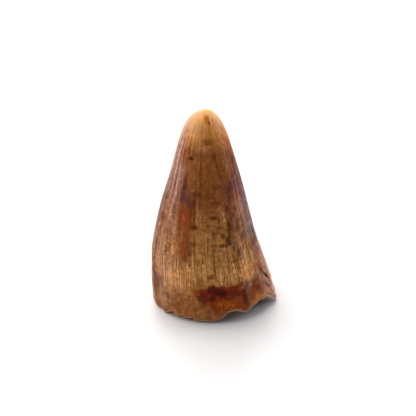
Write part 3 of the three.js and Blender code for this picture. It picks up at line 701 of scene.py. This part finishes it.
class Value:
    """A number in a node tree. Arithmetic on it adds Math nodes."""

    def __init__(self, tree, socket):
        self.tree = tree
        self.socket = socket

    def math(self, operation, *operands):
        return self.tree.node("ShaderNodeMath", {"operation": operation}, dict(enumerate(operands)))

    def __add__(self, other):
        return self.math("ADD", self, other)

    def __sub__(self, other):
        return self.math("SUBTRACT", self, other)

    def __mul__(self, other):
        return self.math("MULTIPLY", self, other)

    def __truediv__(self, other):
        return self.math("DIVIDE", self, other)

    def __rsub__(self, other):
        return self.math("SUBTRACT", other, self)

    def __abs__(self):
        return self.math("ABSOLUTE", self)

    __radd__ = __add__
    __rmul__ = __mul__

    def between(self, low, high):
        """0 at `low` and below, 1 at `high` and above, and smooth in between."""
        settings = {"interpolation_type": "SMOOTHSTEP"}
        inputs = {"Value": self, "From Min": low, "From Max": high}
        return self.tree.node("ShaderNodeMapRange", settings, inputs)


class Tree:
    """A node tree to which nodes are added by one method."""

    def __init__(self, tree):
        self.tree = tree

    def node(self, kind, settings=None, inputs=None, output=0):
        """Adds a node: settings first, then the values or links of its sockets. Gives one output."""
        node = self.tree.nodes.new(kind)
        for name, value in (settings or {}).items():
            if name == "stops":
                self.set_stops(node.color_ramp, value)
            else:
                setattr(node, name, value)
        for key, value in (inputs or {}).items():
            if isinstance(value, Value):
                self.tree.links.new(value.socket, node.inputs[key])
            else:
                node.inputs[key].default_value = value
        return Value(self, node.outputs[output]) if node.outputs else node

    @staticmethod
    def set_stops(ramp, stops):
        while len(ramp.elements) > 1:
            ramp.elements.remove(ramp.elements[0])
        ramp.elements[0].position, ramp.elements[0].color = stops[0]
        for position, colour in stops[1:]:
            ramp.elements.new(position).color = colour

    def noise(self, place, sizes, detail=2.0, roughness=0.5, distortion=0.0):
        """Noise from 0 to 1 in lumps of the given sizes, one for each axis, in the place's own unit."""
        scaled = self.scaled(place, [1 / size for size in sizes])
        inputs = {"Vector": scaled, "Scale": 1.0, "Detail": detail, "Roughness": roughness}
        return self.node("ShaderNodeTexNoise", {}, {**inputs, "Distortion": distortion})

    def scaled(self, vector, factors):
        return self.node("ShaderNodeVectorMath", {"operation": "MULTIPLY"}, {0: vector, 1: factors})

    def shifted(self, vector, shift):
        return self.node("ShaderNodeVectorMath", {"operation": "ADD"}, {0: vector, 1: shift})

    def mixed(self, factor, first, second, blend="MIX"):
        """Two colours mixed. The Mix node's colour sockets are its inputs 6 and 7 and output 2."""
        settings = {"data_type": "RGBA", "blend_type": blend}
        return self.node("ShaderNodeMix", settings, {0: factor, 6: first, 7: second}, output=2)

    def cracks(self, growth, count, half_width):
        """A number of wandering lines from the base to the tip: 1 on a line, 0 between lines."""
        parts = [self.node("ShaderNodeSeparateXYZ", {}, {0: growth}, axis) for axis in range(2)]
        turn = parts[0].math("ARCTAN2", parts[0], 0 - parts[1]) / (2 * math.pi)
        wander = (self.noise(growth, (1.6, 1.6, 9.0), 2.0) - 0.5) * 3.0
        phase = turn * count + wander
        aside = abs(phase.math("FRACT", phase) - 0.5)
        return 1 - aside.between(0.0, half_width * count / (2 * math.pi * GROWTH_RADIUS))


# ---------- relief along the growth direction ----------

RELIEF_DEPTHS = {
    "Rib Depth": 0.06,
    "Flute Depth": 0.09,
    "Ring Depth": 0.03,
    "Crack Depth": 0.03,
    "Pit Depth": 0.1,
}
RELIEF_SEED = 7
# how many lines round the crown, and half the width of one
RELIEF_CRACKS = (90, 0.16)
DIRT_CRACKS = (90, 0.1)
HAIRLINES = (150, 0.08)
CRACK_LENGTHS = (1.0, 1.0, 3.0)  # cracks come and go in lumps of this size
CRACK_ENDS = (0.4, 0.6)  # where that noise is between these, a crack runs out


def add_input(tree, name, kind, default=None):
    socket = tree.interface.new_socket(name, in_out="INPUT", socket_type=kind)
    if default is not None:
        socket.default_value = default


def enamel_growth_tree():
    """Relief of the enamel along the growth direction: ribs, flutes, rings, drying cracks and pits."""
    group = bpy.data.node_groups.new("enamel_growth", "GeometryNodeTree")
    group.interface.new_socket("Geometry", in_out="OUTPUT", socket_type="NodeSocketGeometry")
    add_input(group, "Geometry", "NodeSocketGeometry")
    for name, depth in RELIEF_DEPTHS.items():
        add_input(group, name, "NodeSocketFloat", depth * MM)
    add_input(group, "Seed", "NodeSocketInt", RELIEF_SEED)
    add_input(group, "Finish", "NodeSocketMaterial")

    tree = Tree(group)
    given = group.nodes.new("NodeGroupInput")
    value = {socket.name: Value(tree, socket) for socket in given.outputs if socket.name}

    def attribute(name, data_type="FLOAT"):
        return tree.node("GeometryNodeInputNamedAttribute", {"data_type": data_type}, {"Name": name})

    seed = tree.node("ShaderNodeCombineXYZ", {}, {0: value["Seed"], 1: value["Seed"], 2: value["Seed"]})
    unmoved = attribute("growth", "FLOAT_VECTOR")
    growth = tree.shifted(unmoved, seed)
    outside = attribute("outside")
    dryness = attribute("dryness")

    ribs = tree.noise(growth, (0.75, 0.75, 14), detail=1) - 0.5
    flutes = tree.noise(growth, (2.2, 2.2, 22), detail=1) - 0.5
    rings = tree.noise(growth, (12, 12, 0.9), detail=1) - 0.5
    cracks = tree.cracks(unmoved, *RELIEF_CRACKS) * tree.noise(unmoved, CRACK_LENGTHS).between(*CRACK_ENDS)
    pitting = tree.node("ShaderNodeTexVoronoi", {}, {"Vector": growth, "Scale": 0.42})
    pits = 1 - pitting.between(0.1, 0.26)

    height = ribs * value["Rib Depth"] + flutes * value["Flute Depth"] + rings * value["Ring Depth"]
    depth = cracks * dryness * value["Crack Depth"] + pits * value["Pit Depth"]
    normal = tree.node("GeometryNodeInputNormal")
    relief = (height * attribute("worn") - depth) * outside
    offset = tree.node("ShaderNodeVectorMath", {"operation": "SCALE"}, {0: normal, "Scale": relief})
    moved = tree.node("GeometryNodeSetPosition", {}, {"Geometry": value["Geometry"], "Offset": offset})
    stored = tree.node(
        "GeometryNodeStoreNamedAttribute",
        {"data_type": "FLOAT", "domain": "POINT"},
        {"Geometry": moved, "Name": "pits", "Value": pits * outside},
    )
    realized = tree.node("GeometryNodeRealizeInstances", {}, {"Geometry": stored})
    finished = tree.node("GeometryNodeSetMaterial", {}, {"Geometry": realized, "Material": value["Finish"]})
    tree.node("NodeGroupOutput", {}, {"Geometry": finished})
    return group


def grow_relief(piece, material):
    """Runs the growth tree on the piece and keeps the result as its plain mesh."""
    group = enamel_growth_tree()
    modifier = piece.modifiers.new("enamel_growth", "NODES")
    modifier.node_group = group
    sockets = {item.name: item.identifier for item in group.interface.items_tree if item.in_out == "INPUT"}
    for name, depth in RELIEF_DEPTHS.items():
        modifier[sockets[name]] = depth * MM
    modifier[sockets["Seed"]] = RELIEF_SEED
    modifier[sockets["Finish"]] = material
    evaluated = piece.evaluated_get(bpy.context.evaluated_depsgraph_get())
    grown = bpy.data.meshes.new_from_object(evaluated)
    piece.modifiers.clear()
    piece.data = grown


# ---------- the finish ----------

# noise: what it is laid on, the sizes of its lumps in millimetres, detail
GRAINS = {
    "fibre": ("growth", (0.4, 0.4, 3.6), 3),
    "strands": ("growth", (1.3, 1.3, 12.0), 2),
    "cloud": ("place", (2.6, 2.6, 3.4), 4),
    "grain": ("place", (0.5, 0.5, 0.6), 4),
    "speckle": ("growth", (0.26, 0.26, 0.6), 2),
    "rings": ("growth", (9.0, 9.0, 0.55), 2),
    "weave": ("growth", (1.1, 1.1, 0.4), 3),
    "face": ("place", (0.5, 0.5, 0.3), 4),
}
CRACK_DIRT = paint(96, 58, 12)
# two tones each, mixed in lumps
EDGE_TONES = (paint(240, 188, 146), paint(196, 136, 94))
DENTINE_TONES = (paint(236, 182, 132), paint(186, 128, 84))
CAVITY_TONES = (paint(120, 80, 50), paint(80, 52, 32))
SPECULAR = 0.1
BUMP_STRENGTH = 0.6
BUMP_HEIGHT = 0.06
LAST_ROW_OUTSIDE = 0.6  # how far the last row above the break still counts as outside


def fossil_enamel():
    material = bpy.data.materials.new("fossil_enamel")
    material.use_nodes = True
    material.node_tree.nodes.clear()
    tree = Tree(material.node_tree)

    def attribute(name, output=2):
        return tree.node("ShaderNodeAttribute", {"attribute_name": name}, output=output)

    growth = attribute("growth", output=1)
    band = attribute("band")
    outside = attribute("outside")
    broken = attribute("broken")
    dryness = attribute("dryness")
    worn = attribute("worn")
    place = tree.scaled(tree.node("ShaderNodeTexCoord", output=3), [1 / MM] * 3)

    # Plain numbers in the formulas below weigh these noises, all about 0.5, against each other.
    laid_on = {"growth": growth, "place": place}
    fibre, strands, cloud, grain, speckle, rings, weave, face = (
        tree.noise(laid_on[where], sizes, detail=detail) for where, sizes, detail in GRAINS.values()
    )
    wrinkles = tree.noise(attribute("wrinkled", output=1), (0.5, 0.5, 1.1), detail=4, distortion=0.6)
    rooty = attribute("rooty")

    # Plain enamel: the colour at this height, its edges frayed by the fibres.
    frayed = band + (fibre - 0.5) * (0.3 + dryness) + (cloud - 0.5) * 1.2 + (strands - 0.5) * dryness
    front, left, right = (
        tree.node(
            "ShaderNodeValToRGB",
            {"stops": [(height / HEIGHT, tone) for height, tone in ramp]},
            {"Fac": frayed / HEIGHT},
        )
        for ramp in (ENAMEL, LEFT_FLANK_WITH_SHEEN, RIGHT_FLANK_WITH_SHEEN)
    )
    # The flanks' colours, with their painted sheen, blend in round the sides.
    drift = (cloud - 0.5) * 1.1 + (fibre - 0.5) * 0.4
    colour = tree.mixed((attribute("left") + drift).between(0.0, 1.0), front, left)
    colour = tree.mixed((attribute("right") + drift).between(0.0, 1.0), colour, right)

    # Stains and painted shade, sheen and highlights, each edge broken up by the same fibres.
    ragged = (fibre - 0.5) * 2.4 + (grain - 0.5) * 3.0 + (speckle - 0.5) * 1.6
    for kind, (kind_colour, _) in STAIN_AND_LIGHT_KINDS.items():
        field = attribute("stain_" + kind)
        covered = field + field * (1 - field) * ragged
        colour = tree.mixed(covered.between(0.0, 1.0), colour, kind_colour)

    # Fine light and dark tones along the fibres, mottling, growth rings; on the left flank the fibre streaks
    # are stronger, and paint the striped sheen on its ribs.
    streaks = (fibre - 0.5) * (0.5 + dryness * 1.3 + attribute("left") * 0.6) * worn
    streaks = streaks * (1 - rooty) + (wrinkles - 0.5) * rooty * 1.4
    mottle = (grain - 0.5) * 0.9 + (speckle - 0.5) * 0.9 + (weave - 0.5) * 0.9 + (rings - 0.5) * 0.3
    mottle = mottle * (worn * 0.7 + 0.3) * (1.3 - band.between(20.0, 29.0) * 0.3 + rooty * 0.15)
    uneven = streaks + mottle + (cloud - 0.5) * 0.5 + (strands - 0.5) * 0.4
    shade = uneven.math("EXPONENT", uneven)
    grey = tree.node("ShaderNodeCombineColor", {}, {0: shade, 1: shade, 2: shade})
    colour = tree.mixed(outside, colour, tree.mixed(1.0, colour, grey, "MULTIPLY"))

    # Drying cracks, dark with dirt.
    cracks = tree.cracks(growth, *DIRT_CRACKS) * tree.noise(growth, CRACK_LENGTHS).between(*CRACK_ENDS)
    elsewhere = tree.shifted(growth, (0, 0, 60))
    shown = tree.noise(elsewhere, (0.8, 0.8, 2.0)).between(0.36, 0.6)
    hairlines = tree.cracks(elsewhere, *HAIRLINES) * shown
    dirt = (cracks * 0.9 + hairlines * 0.75) * dryness * outside
    colour = tree.mixed(dirt.between(0.0, 1.0), colour, CRACK_DIRT)

    # Bare dentine along the edge, in the break and in the cavity.
    pale, dentine, inside = (tree.mixed(face, *tones) for tones in (EDGE_TONES, DENTINE_TONES, CAVITY_TONES))
    edge = attribute("rim") + (grain - 0.5) * 0.5 + (fibre - 0.5) * 0.4
    colour = tree.mixed(edge.between(0.35, 0.75), colour, pale)
    colour = tree.mixed(outside, tree.mixed(broken, inside, dentine), colour)

    roughness = 0.4 + (grain - 0.5) * 0.25 + dirt * 0.2 + (1 - outside) * 0.3
    relief = fibre * (1 - rooty) * 0.5 + wrinkles * rooty + grain * 0.35 - dirt * 0.8 + rings * 0.15
    bump_inputs = {"Strength": BUMP_STRENGTH, "Distance": BUMP_HEIGHT * MM, "Height": relief}
    bump = tree.node("ShaderNodeBump", {}, bump_inputs)
    shader = tree.node(
        "ShaderNodeBsdfPrincipled",
        {},
        {"Base Color": colour, "Roughness": roughness, "Normal": bump, "Specular IOR Level": SPECULAR},
    )
    tree.node("ShaderNodeOutputMaterial", {}, {"Surface": shader})
    return material


# ---------- the crown ----------


def crown_mesh():
    rings, zones = crown_rings()
    top_x, top_y, _, _ = section_at(np.array(HEIGHT))
    roof_x, roof_y, _, _ = section_at(np.array(CAVITY_TOP))
    grid = np.array(rings)
    shift = middle_of_box() - middle_of(grid.reshape(-1, 3))
    shift[2] = 0
    tip = np.array([[top_x, top_y, HEIGHT]])
    apex = np.array([[roof_x, roof_y, CAVITY_TOP]])
    points = (np.concatenate([tip, grid.reshape(-1, 3), apex]) + shift) * MM

    count = len(rings)
    columns = np.arange(COLUMNS)
    following = (columns + 1) % COLUMNS
    starts = 1 + COLUMNS * np.arange(count - 1)[:, None]
    corners = [starts + columns, starts + COLUMNS + columns, starts + COLUMNS + following, starts + following]
    quads = np.stack(corners, axis=-1).reshape(-1, 4)
    last = 1 + COLUMNS * (count - 1)
    top_fan = [(0, 1 + i, 1 + j) for i, j in zip(columns, following)]
    roof_fan = [(last + i, len(points) - 1, last + j) for i, j in zip(columns, following)]
    faces = [tuple(quad) for quad in quads.tolist()] + top_fan + roof_fan

    mesh = bpy.data.meshes.new("crown")
    mesh.from_pydata(points.tolist(), [], faces)
    mesh.polygons.foreach_set("use_smooth", [True] * len(mesh.polygons))
    store_fields(mesh, grid, zones)
    store_uv_map(mesh, count)
    mesh.update()
    return mesh, shift


def middle_of(points):
    return (points.min(axis=0) + points.max(axis=0)) / 2


def middle_of_box():
    return np.array((low_corner + high_corner) / 2) / MM


def store_fields(mesh, grid, zones):
    """Writes what the finish reads on each point: growth coordinates, zones, dryness, and stains with painted
    light.
    """
    angles = np.broadcast_to(column_angles, grid.shape[:2])
    heights = grid[..., 2]
    middle_x, middle_y, _, _ = section_at(heights)
    radius = np.hypot(grid[..., 0] - middle_x, grid[..., 1] - middle_y)
    zone = np.array(zones)[:, None]
    outside = np.broadcast_to(zone == "outside", angles.shape).astype(float)
    outside[OUTER_ROWS - 1] = LAST_ROW_OUTSIDE
    broken = np.broadcast_to(zone == "break", angles.shape).astype(float)
    place = growth_place(angles, heights)
    ragged = STAIN_AND_LIGHT_RAGGEDNESS * fractal(place, STAIN_AND_LIGHT_LUMPS, 5)
    fade = np.minimum(1, radius / RELIEF_FADE)
    dryness = from_table(DRYNESS, heights) * fade

    fields = {
        "band": band_height(angles, heights),
        "outside": outside,
        "broken": broken,
        "dryness": dryness,
        "left": flank_share(-angles, heights, LEFT_EDGE),
        "right": flank_share(angles, heights, RIGHT_EDGE),
        "worn": smoothstep(HEIGHT - heights, *WORN_DEPTH),
        "rooty": below_band(angles, heights, WRINKLE_EDGE),
        "rim": rim_share(angles, heights),
    }
    for kind, (_, softness) in STAIN_AND_LIGHT_KINDS.items():
        fields["stain_" + kind] = field_of_kind(kind, softness, angles, heights, radius, ragged)
    wandering = heights + DAMP_WANDER * ragged
    fields["stain_russet"] = either(fields["stain_russet"], damp_share(angles, wandering))
    for name, values in fields.items():
        layer = mesh.attributes.new(name, "FLOAT", "POINT")
        layer.data.foreach_set("value", with_poles(values).astype(np.float32))
    for name, lean in (("growth", 0.0), ("wrinkled", WRINKLE_LEAN)):
        layer = mesh.attributes.new(name, "FLOAT_VECTOR", "POINT")
        leaning = with_poles(growth_place(angles - lean * heights, heights))
        layer.data.foreach_set("vector", leaning.astype(np.float32).ravel())


def with_poles(values):
    """The values of the rings, with the tip's and the cavity roof's own before and after them."""
    flat = values.reshape(-1, *values.shape[2:])
    first, last = values[0].mean(axis=0)[None], values[-1].mean(axis=0)[None]
    return np.concatenate([first, flat, last])


def store_uv_map(mesh, count):
    """One strip round the crown for the outside, and one below it for the break and the cavity."""
    uv_map = mesh.uv_layers.new(name="OFBake")
    size = 1 - 2 * UV_MARGIN
    loops = np.empty(len(mesh.loops), dtype=int)
    mesh.loops.foreach_get("vertex_index", loops)
    ring = np.clip((loops - 1) // COLUMNS, -1, count)
    column = (loops - 1) % COLUMNS
    starts = np.empty(len(mesh.polygons), dtype=int)
    totals = np.empty(len(mesh.polygons), dtype=int)
    mesh.polygons.foreach_get("loop_start", starts)
    mesh.polygons.foreach_get("loop_total", totals)
    of_face = np.repeat(np.arange(len(starts)), totals)

    # A face across the seam takes its far corners one turn on, and a pole the middle of its face.
    is_pole = (ring < 0) | (ring >= count)
    wraps = np.zeros(len(starts), dtype=bool)
    np.logical_or.at(wraps, of_face, (column == COLUMNS - 1) & ~is_pole)
    turn = np.where(wraps[of_face] & (column == 0) & ~is_pole, column + COLUMNS, column).astype(float)
    lowest = np.full(len(starts), np.inf)
    np.minimum.at(lowest, of_face, np.where(is_pole, np.inf, turn))
    turn = np.where(is_pole, lowest[of_face] + 0.5, turn)

    down = (ring + 1) / OUTER_ROWS
    up = (ring - OUTER_ROWS + 1) / (count - OUTER_ROWS + 1)
    inner_face = np.zeros(len(starts), dtype=bool)
    np.logical_or.at(inner_face, of_face, ring >= OUTER_ROWS)
    height = np.where(
        inner_face[of_face],
        (UV_RIM - 2 * UV_MARGIN) * (1 - up),
        1 - (1 - UV_RIM) * down,
    )
    u = UV_MARGIN + size * turn / COLUMNS
    v = UV_MARGIN + size * height
    uv_map.data.foreach_set("uv", np.stack([u, v], axis=-1).astype(np.float32).ravel())


def make_crown():
    mesh, shift = crown_mesh()
    piece = bpy.data.objects.new("crown", mesh)
    bpy.context.scene.collection.objects.link(piece)
    grow_relief(piece, fossil_enamel())
    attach(piece, "root")
    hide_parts(NODE)
    return shift


# ---------- floor, light and camera ----------

FLOOR_SIZE = 1.0
FLOOR_COLOUR = (0.84, 0.829, 0.80, 1.0)
FLOOR_ROUGHNESS = 0.35
WORLD_LIGHT = (0.036, 0.064, 0.12)
LENS = 100.0
CAMERA_ELEVATION = 28.0
CAMERA_DISTANCE = 213.794
CAMERA_NEAREST = 0.01  # nothing nearer than this, in metres, is drawn
CAMERA_AIM = np.array([-1.059, 0.0, 18.672])  # measured from the base's middle

# name: place (metres), size (metres), watts, colour
SOFTBOXES = {
    "top": ((-0.15, 0.19, 0.50), 0.36, 2.8, (1.0, 0.99, 0.99)),
    "top right": ((0.09, 0.14, 0.54), 0.50, 0.45, (1.0, 0.99, 0.99)),
    "back": ((0.0, 0.70, 0.40), 0.70, 2.8, (1.0, 0.97, 0.93)),
    "left": ((-0.46, 0.14, 0.20), 0.40, 0.8, (1.0, 0.96, 0.94)),
    "right": ((0.42, 0.22, 0.20), 0.36, 1.08, (1.0, 0.96, 0.97)),
    "front": ((-0.34, -0.18, 0.44), 0.36, 0.6, (1.0, 0.98, 0.94)),
}


def plain_floor():
    half = FLOOR_SIZE / 2
    mesh = bpy.data.meshes.new("floor")
    corners = [(-half, -half, 0), (half, -half, 0), (half, half, 0), (-half, half, 0)]
    mesh.from_pydata(corners, [], [(0, 1, 2, 3)])
    floor = bpy.data.objects.new("floor", mesh)
    bpy.context.scene.collection.objects.link(floor)
    material = bpy.data.materials.new("white_sweep")
    material.use_nodes = True
    shader = material.node_tree.nodes["Principled BSDF"]
    shader.inputs["Base Color"].default_value = FLOOR_COLOUR
    shader.inputs["Roughness"].default_value = FLOOR_ROUGHNESS
    mesh.materials.append(material)


def softbox(name, place, size, watts, colour):
    light = bpy.data.lights.new(name, "AREA")
    light.shape = "SQUARE"
    light.size = size
    light.energy = watts
    light.color = colour
    lamp = bpy.data.objects.new(name, light)
    lamp.location = place
    target = Vector((0, 0, HEIGHT * MM / 2))
    lamp.rotation_euler = (Vector(place) - target).to_track_quat("Z", "Y").to_euler()
    lamp.visible_camera = False
    bpy.context.scene.collection.objects.link(lamp)


def studio_world():
    """White to the eye, dim as a light, so that the crown keeps its dark front."""
    world = bpy.data.worlds.new("studio")
    bpy.context.scene.world = world
    world.use_nodes = True
    world.node_tree.nodes.clear()
    tree = Tree(world.node_tree)
    seen = tree.node("ShaderNodeLightPath", output=0)
    colour = tree.mixed(seen, (*WORLD_LIGHT, 1.0), (1.0, 1.0, 1.0, 1.0))
    backdrop = tree.node("ShaderNodeBackground", {}, {"Color": colour, "Strength": 1.0})
    tree.node("ShaderNodeOutputWorld", {}, {"Surface": backdrop})


def place_camera(shift):
    camera = bpy.data.cameras.new("camera")
    camera.lens = LENS
    camera.clip_start = CAMERA_NEAREST
    eye = bpy.data.objects.new("camera", camera)
    aim = Vector((CAMERA_AIM + shift) * MM)
    tilt = math.radians(CAMERA_ELEVATION)
    away = Vector((0, -math.cos(tilt), math.sin(tilt)))
    eye.location = aim + away * CAMERA_DISTANCE * MM
    eye.rotation_euler = away.to_track_quat("Z", "Y").to_euler()
    bpy.context.scene.collection.objects.link(eye)
    bpy.context.scene.camera = eye


place_camera(make_crown())
plain_floor()
studio_world()
for name, (place, size, watts, colour) in SOFTBOXES.items():
    softbox(name, place, size, watts, colour)
bpy.context.scene.view_settings.view_transform = "Standard"
